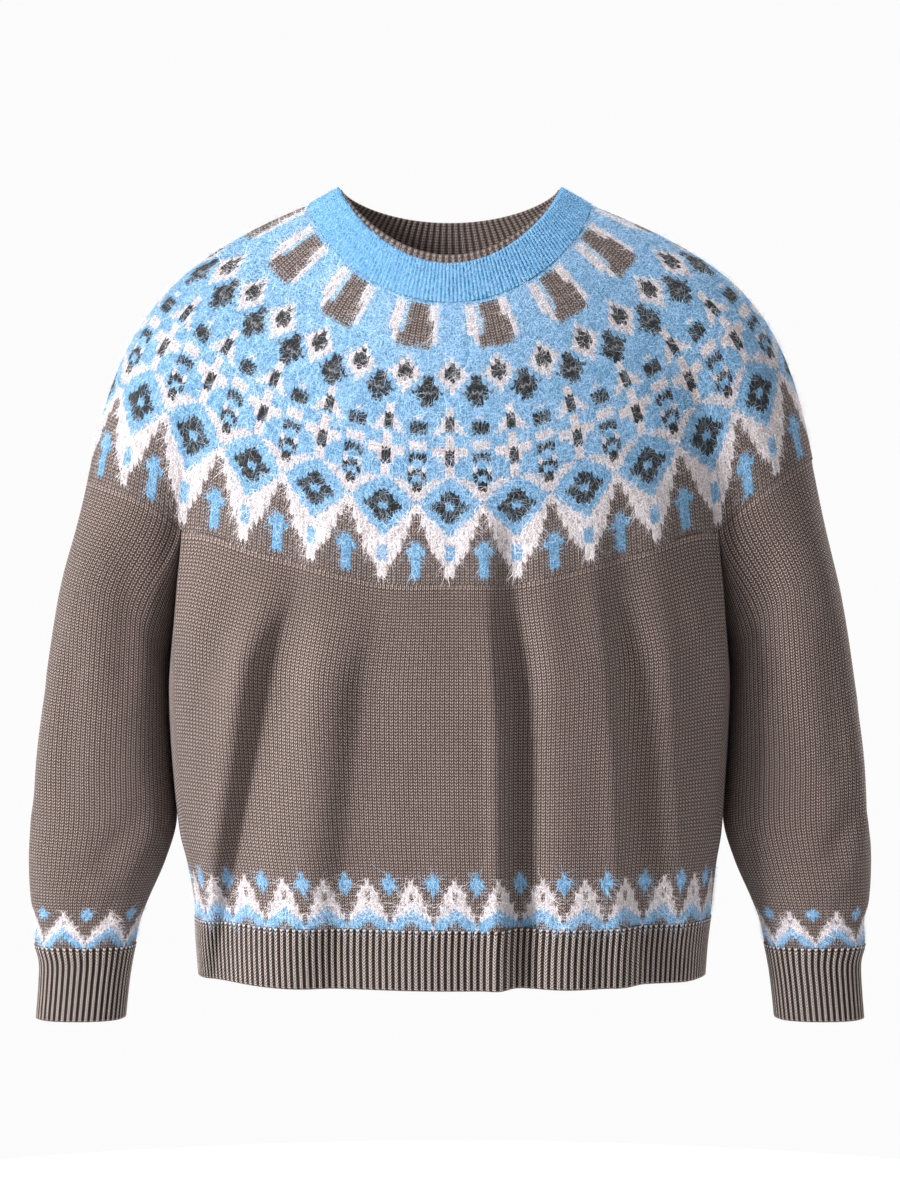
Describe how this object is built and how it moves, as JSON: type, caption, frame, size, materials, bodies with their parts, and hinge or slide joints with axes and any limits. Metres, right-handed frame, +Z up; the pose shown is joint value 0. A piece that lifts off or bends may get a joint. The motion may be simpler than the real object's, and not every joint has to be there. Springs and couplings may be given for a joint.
{
  "type": "fair isle jumper",
  "caption": "Hollow worn knitted jumper with a round patterned yoke, long sleeves, and a ribbed collar, hem and cuffs.",
  "frame": {"origin": "middle of the neck, level with the foot of the collar on the shoulders, where the wearer's neck and shoulders hold the jumper", "axes": "+Z up, -Y the front of the jumper, +X the wearer's left"},
  "size_m": [0.6699, 0.2524, 0.6584],
  "materials": {
    "collar_rib": "brushed wool blend rib, sky blue, soft halo",
    "facing_rib": "wool rib, taupe brown",
    "yoke_colourwork": "stranded colourwork in taupe, sky blue, off-white and charcoal, brushed halo",
    "body_knit": "stocking stitch, taupe brown, with a colourwork band above the hem",
    "hem_rib_knit": "wool blend rib, taupe brown",
    "sleeve_knit": "stocking stitch, taupe brown, with a colourwork band above the cuff",
    "cuff_rib_knit": "wool blend rib, taupe brown"
  },
  "bodies": {
    "root": {"collar": "collar_rib", "collar_facing": "facing_rib", "yoke": "yoke_colourwork", "body_front": "body_knit", "body_back": "body_knit", "hem_rib": "hem_rib_knit", "sleeve_left": "sleeve_knit", "sleeve_right": "sleeve_knit", "cuff_left": "cuff_rib_knit", "cuff_right": "cuff_rib_knit"}
  },
  "joints": []
}
